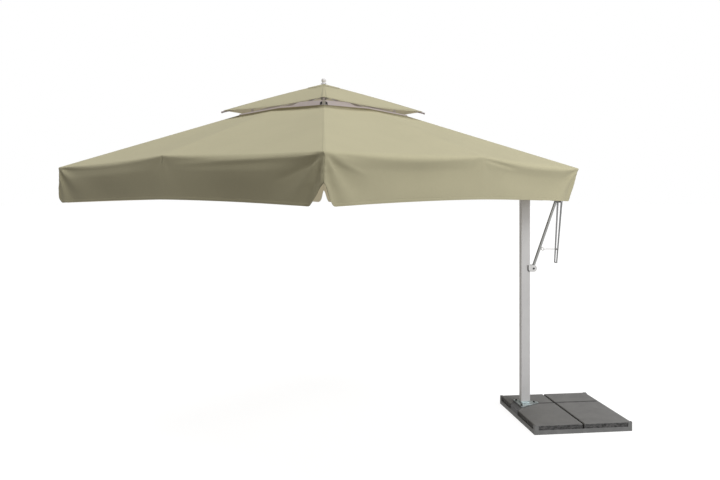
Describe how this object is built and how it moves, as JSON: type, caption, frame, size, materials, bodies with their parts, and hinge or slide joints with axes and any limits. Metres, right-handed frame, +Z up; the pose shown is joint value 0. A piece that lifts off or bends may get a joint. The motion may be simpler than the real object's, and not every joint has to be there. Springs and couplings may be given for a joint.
{
  "type": "cantilever parasol",
  "caption": "Square two-tier canopy hung from a sloping boom on a side mast, with folding ribs and a slab-weighted foot.",
  "frame": {"origin": "on the mast's axis at ground level", "axes": "+Z up, -X towards the canopy, +Y to the back"},
  "size_m": [5.2578, 4.9376, 3.276],
  "materials": {
    "painted_steel": "satin",
    "paving": "matt",
    "galvanised": "zinc",
    "mast_metal": "satin",
    "boom_metal": "satin",
    "bracket_metal": "satin",
    "bolt_steel": "satin",
    "dark_plastic": "matt",
    "white_plastic": "gloss",
    "rib_metal": "satin",
    "cap_rib_metal": "satin",
    "canvas": "woven",
    "strut_metal": "satin",
    "handle_metal": "satin",
    "catch_metal": "satin"
  },
  "bodies": {
    "base": {"base_frame": "painted_steel", "foot_box": "painted_steel", "slab_front_left": "paving", "slab_front_right": "paving", "slab_back_left": "paving", "slab_back_right": "paving", "foot_plate": "galvanised", "foot_bolts": "galvanised", "mast_foot": "mast_metal", "mast": "mast_metal", "mast_head": "bracket_metal", "boom_bolt": "bolt_steel"},
    "boom_arm": {"boom_tube": "boom_metal", "boom_end_cap": "dark_plastic", "rear_bracket": "bracket_metal", "rear_bolts": "bolt_steel", "pole_bracket": "bracket_metal", "pole": "boom_metal", "crown": "dark_plastic", "crown_pins": "bolt_steel", "cap_hub": "dark_plastic", "finial": "white_plastic"},
    "hub": {"lower_hub": "dark_plastic"},
    "rib_arm_1": {"rib_1": "rib_metal", "gore_1": "canvas"},
    "stay_1": {"stretcher_1": "rib_metal"},
    "cap_arm_1": {"cap_rib_1": "cap_rib_metal", "cap_gore_1": "canvas"},
    "rib_arm_2": {"rib_2": "rib_metal", "gore_2": "canvas"},
    "stay_2": {"stretcher_2": "rib_metal"},
    "rib_arm_3": {"rib_3": "rib_metal", "gore_3": "canvas"},
    "stay_3": {"stretcher_3": "rib_metal"},
    "cap_arm_3": {"cap_rib_3": "cap_rib_metal", "cap_gore_3": "canvas"},
    "rib_arm_4": {"rib_4": "rib_metal", "gore_4": "canvas"},
    "stay_4": {"stretcher_4": "rib_metal"},
    "rib_arm_5": {"rib_5": "rib_metal", "gore_5": "canvas"},
    "stay_5": {"stretcher_5": "rib_metal"},
    "cap_arm_5": {"cap_rib_5": "cap_rib_metal", "cap_gore_5": "canvas"},
    "rib_arm_6": {"rib_6": "rib_metal", "gore_6": "canvas"},
    "stay_6": {"stretcher_6": "rib_metal"},
    "rib_arm_7": {"rib_7": "rib_metal", "gore_7": "canvas"},
    "stay_7": {"stretcher_7": "rib_metal"},
    "cap_arm_7": {"cap_rib_7": "cap_rib_metal", "cap_gore_7": "canvas"},
    "rib_arm_8": {"rib_8": "rib_metal", "gore_8": "canvas"},
    "stay_8": {"stretcher_8": "rib_metal"},
    "saddle_block": {"saddle": "mast_metal", "saddle_bolt": "bolt_steel"},
    "strut_arm": {"strut": "strut_metal", "handle_catch": "catch_metal"},
    "handle_arm": {"handle": "handle_metal"}
  },
  "joints": [
    {"name": "boom_tilt", "type": "hinge", "parent": "base", "child": "boom_arm", "pos_m": [0, 0, 2.207], "axis": [0, -1, 0], "range_deg": [0, 6]},
    {"name": "hub_slide", "type": "slide", "parent": "boom_arm", "child": "hub", "axis": [0, 0, -1], "range_m": [0, 1.30868]},
    {"name": "rib_fold_1", "type": "hinge", "parent": "boom_arm", "child": "rib_arm_1", "pos_m": [-1.92022, -0.07128, 3.11369], "axis": [0.0698, 0.9976, 0], "range_deg": [0, 60.41], "deforming": ["gore_1"]},
    {"name": "stay_fold_1", "type": "hinge", "parent": "rib_arm_1", "child": "stay_1", "pos_m": [-1.012, -0.13479, 2.84238], "axis": [0.0698, 0.9976, 0], "range_deg": [-120.81, 0]},
    {"name": "cap_fold_1", "type": "hinge", "parent": "boom_arm", "child": "cap_arm_1", "pos_m": [-1.90027, -0.07267, 3.16], "axis": [0.0698, 0.9976, 0], "range_deg": [0, 60], "deforming": ["cap_gore_1"]},
    {"name": "rib_fold_2", "type": "hinge", "parent": "boom_arm", "child": "rib_arm_2", "pos_m": [-1.94208, -0.00596, 3.11369], "axis": [-0.6561, 0.7547, 0], "range_deg": [0, 55.03], "deforming": ["gore_2"]},
    {"name": "stay_fold_2", "type": "hinge", "parent": "rib_arm_2", "child": "stay_2", "pos_m": [-1.25722, 0.58938, 2.74758], "axis": [-0.6561, 0.7547, 0], "range_deg": [-120.25, 0]},
    {"name": "rib_fold_3", "type": "hinge", "parent": "boom_arm", "child": "rib_arm_3", "pos_m": [-2.00372, 0.02478, 3.11369], "axis": [-0.9976, 0.0698, 0], "range_deg": [0, 60.41], "deforming": ["gore_3"]},
    {"name": "stay_fold_3", "type": "hinge", "parent": "rib_arm_3", "child": "stay_3", "pos_m": [-1.94021, 0.933, 2.84238], "axis": [-0.9976, 0.0698, 0], "range_deg": [-120.81, 0]},
    {"name": "cap_fold_3", "type": "hinge", "parent": "boom_arm", "child": "cap_arm_3", "pos_m": [-2.00233, 0.04473, 3.16], "axis": [-0.9976, 0.0698, 0], "range_deg": [0, 60], "deforming": ["cap_gore_3"]},
    {"name": "rib_fold_4", "type": "hinge", "parent": "boom_arm", "child": "rib_arm_4", "pos_m": [-2.06905, 0.00292, 3.11369], "axis": [-0.7547, -0.6561, 0], "range_deg": [0, 55.03], "deforming": ["gore_4"]},
    {"name": "stay_fold_4", "type": "hinge", "parent": "rib_arm_4", "child": "stay_4", "pos_m": [-2.66438, 0.68778, 2.74758], "axis": [-0.7547, -0.6561, 0], "range_deg": [-120.25, 0]},
    {"name": "rib_fold_5", "type": "hinge", "parent": "boom_arm", "child": "rib_arm_5", "pos_m": [-2.09978, -0.05872, 3.11369], "axis": [-0.0698, -0.9976, 0], "range_deg": [0, 60.41], "deforming": ["gore_5"]},
    {"name": "stay_fold_5", "type": "hinge", "parent": "rib_arm_5", "child": "stay_5", "pos_m": [-3.008, 0.00479, 2.84238], "axis": [-0.0698, -0.9976, 0], "range_deg": [-120.81, 0]},
    {"name": "cap_fold_5", "type": "hinge", "parent": "boom_arm", "child": "cap_arm_5", "pos_m": [-2.11973, -0.05733, 3.16], "axis": [-0.0698, -0.9976, 0], "range_deg": [0, 60], "deforming": ["cap_gore_5"]},
    {"name": "rib_fold_6", "type": "hinge", "parent": "boom_arm", "child": "rib_arm_6", "pos_m": [-2.07792, -0.12405, 3.11369], "axis": [0.6561, -0.7547, 0], "range_deg": [0, 55.03], "deforming": ["gore_6"]},
    {"name": "stay_fold_6", "type": "hinge", "parent": "rib_arm_6", "child": "stay_6", "pos_m": [-2.76278, -0.71938, 2.74758], "axis": [0.6561, -0.7547, 0], "range_deg": [-120.25, 0]},
    {"name": "rib_fold_7", "type": "hinge", "parent": "boom_arm", "child": "rib_arm_7", "pos_m": [-2.01628, -0.15478, 3.11369], "axis": [0.9976, -0.0698, 0], "range_deg": [0, 60.41], "deforming": ["gore_7"]},
    {"name": "stay_fold_7", "type": "hinge", "parent": "rib_arm_7", "child": "stay_7", "pos_m": [-2.07979, -1.063, 2.84238], "axis": [0.9976, -0.0698, 0], "range_deg": [-120.81, 0]},
    {"name": "cap_fold_7", "type": "hinge", "parent": "boom_arm", "child": "cap_arm_7", "pos_m": [-2.01767, -0.17473, 3.16], "axis": [0.9976, -0.0698, 0], "range_deg": [0, 60], "deforming": ["cap_gore_7"]},
    {"name": "rib_fold_8", "type": "hinge", "parent": "boom_arm", "child": "rib_arm_8", "pos_m": [-1.95095, -0.13292, 3.11369], "axis": [0.7547, 0.6561, 0], "range_deg": [0, 55.03], "deforming": ["gore_8"]},
    {"name": "stay_fold_8", "type": "hinge", "parent": "rib_arm_8", "child": "stay_8", "pos_m": [-1.35562, -0.81778, 2.74758], "axis": [0.7547, 0.6561, 0], "range_deg": [-120.25, 0]},
    {"name": "saddle_slide", "type": "slide", "parent": "base", "child": "saddle_block", "axis": [0, 0, 1], "range_m": [0, 0.03764]},
    {"name": "strut_swing", "type": "hinge", "parent": "boom_arm", "child": "strut_arm", "pos_m": [0.329, 0, 2.12], "axis": [0, -1, 0], "range_deg": [-6.62, 0]},
    {"name": "handle_swing", "type": "hinge", "parent": "boom_arm", "child": "handle_arm", "pos_m": [0.365, 0, 2.105], "axis": [0, -1, 0], "range_deg": [0, 60]}
  ],
  "couplings": [
    {"joint": "rib_fold_1", "follows": "hub_slide", "rad_per_m": 0.80561},
    {"joint": "stay_fold_1", "follows": "hub_slide", "rad_per_m": -1.6112},
    {"joint": "cap_fold_1", "follows": "hub_slide", "rad_per_m": 0.80019},
    {"joint": "rib_fold_2", "follows": "hub_slide", "rad_per_m": 0.73389},
    {"joint": "stay_fold_2", "follows": "hub_slide", "rad_per_m": -1.6037},
    {"joint": "rib_fold_3", "follows": "hub_slide", "rad_per_m": 0.80561},
    {"joint": "stay_fold_3", "follows": "hub_slide", "rad_per_m": -1.6112},
    {"joint": "cap_fold_3", "follows": "hub_slide", "rad_per_m": 0.80019},
    {"joint": "rib_fold_4", "follows": "hub_slide", "rad_per_m": 0.73389},
    {"joint": "stay_fold_4", "follows": "hub_slide", "rad_per_m": -1.6037},
    {"joint": "rib_fold_5", "follows": "hub_slide", "rad_per_m": 0.80561},
    {"joint": "stay_fold_5", "follows": "hub_slide", "rad_per_m": -1.6112},
    {"joint": "cap_fold_5", "follows": "hub_slide", "rad_per_m": 0.80019},
    {"joint": "rib_fold_6", "follows": "hub_slide", "rad_per_m": 0.73389},
    {"joint": "stay_fold_6", "follows": "hub_slide", "rad_per_m": -1.6037},
    {"joint": "rib_fold_7", "follows": "hub_slide", "rad_per_m": 0.80561},
    {"joint": "stay_fold_7", "follows": "hub_slide", "rad_per_m": -1.6112},
    {"joint": "cap_fold_7", "follows": "hub_slide", "rad_per_m": 0.80019},
    {"joint": "rib_fold_8", "follows": "hub_slide", "rad_per_m": 0.73389},
    {"joint": "stay_fold_8", "follows": "hub_slide", "rad_per_m": -1.6037},
    {"joint": "saddle_slide", "follows": "boom_tilt", "m_per_rad": 0.35844},
    {"joint": "strut_swing", "follows": "boom_tilt", "ratio": -1.1017}
  ]
}
